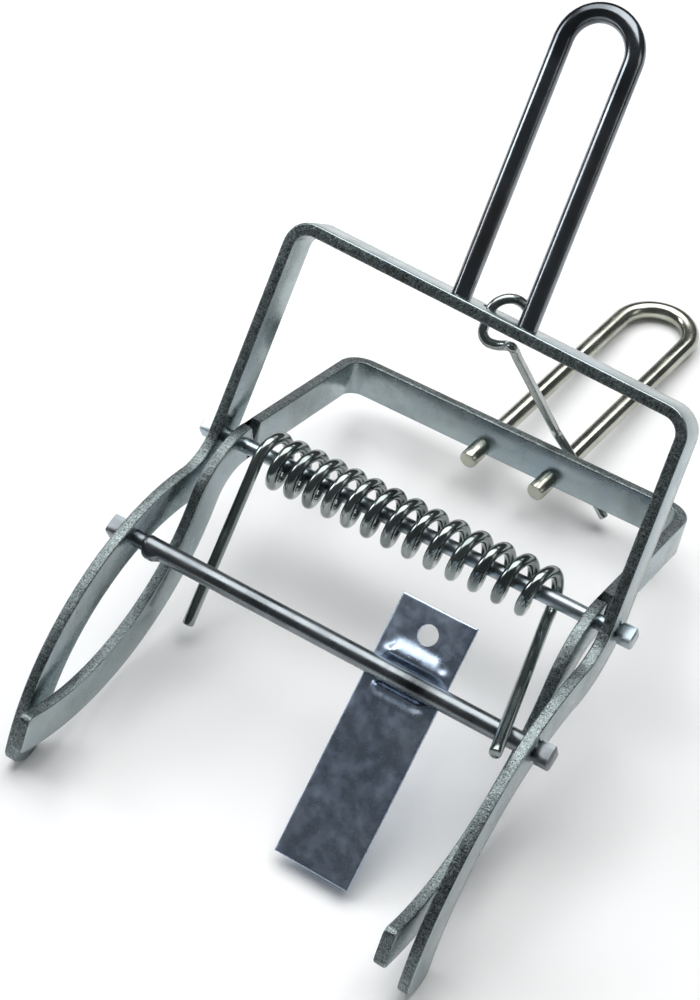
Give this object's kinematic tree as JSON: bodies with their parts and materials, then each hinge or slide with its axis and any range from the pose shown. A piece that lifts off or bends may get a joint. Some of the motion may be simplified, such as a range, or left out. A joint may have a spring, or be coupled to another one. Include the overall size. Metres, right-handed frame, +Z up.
{
  "type": "claw trap",
  "caption": "Claw trap for small tunnelling animals: crossed spring-loaded steel jaws on one axle, wire squeeze handles, a hinged trigger plate and a wire catch.",
  "frame": {"origin": "centre of the bounding box at its base, on the surface that the trap lies on", "axes": "+X along the axle to the right, +Y from the jaws to the handles, +Z up from the surface it lies on"},
  "size_m": [0.1226, 0.2218, 0.1268],
  "materials": {
    "strap_zinc": "bright zinc plate, smooth rolled faces, grainy sheared edges",
    "front_handle_zinc": "bright zinc plate",
    "rear_handle_zinc": "bright zinc plate, slightly yellow",
    "rod_zinc": "dull zinc plate with streaks",
    "spring_zinc": "glossy zinc plate",
    "hook_zinc": "glossy zinc plate",
    "plate_zinc": "bluish zinc plate with fine scratches"
  },
  "bodies": {
    "rear_jaw": {"rear_frame": "strap_zinc", "rear_handle": "rear_handle_zinc", "torsion_spring": "spring_zinc"},
    "front_jaw": {"front_frame": "strap_zinc", "front_handle": "front_handle_zinc", "pivot_axle": "rod_zinc", "trigger_rod": "rod_zinc"},
    "catch": {"catch_hook": "hook_zinc"},
    "trigger": {"trigger_plate": "plate_zinc"}
  },
  "joints": [
    {"name": "jaw_hinge", "type": "hinge", "parent": "rear_jaw", "child": "front_jaw", "pos_m": [0, -0.01784, 0.03345], "axis": [-1, 0, 0], "range_deg": [0, 30], "stiffness_Nm_per_rad": 1.6, "springref_deg": -17.19, "deforming": ["torsion_spring"]},
    {"name": "catch_hinge", "type": "hinge", "parent": "front_jaw", "child": "catch", "pos_m": [0.0023, 0.02107, 0.0726], "axis": [0.7493, -0.6138, 0.2486], "range_deg": [0, 42]},
    {"name": "trigger_hinge", "type": "hinge", "parent": "front_jaw", "child": "trigger", "pos_m": [0, -0.0563, 0.03361], "axis": [1, 0, 0], "range_deg": [-170, 118]}
  ],
  "couplings": [
    {"joint": "catch_hinge", "follows": "jaw_hinge", "ratio": 1.4}
  ]
}
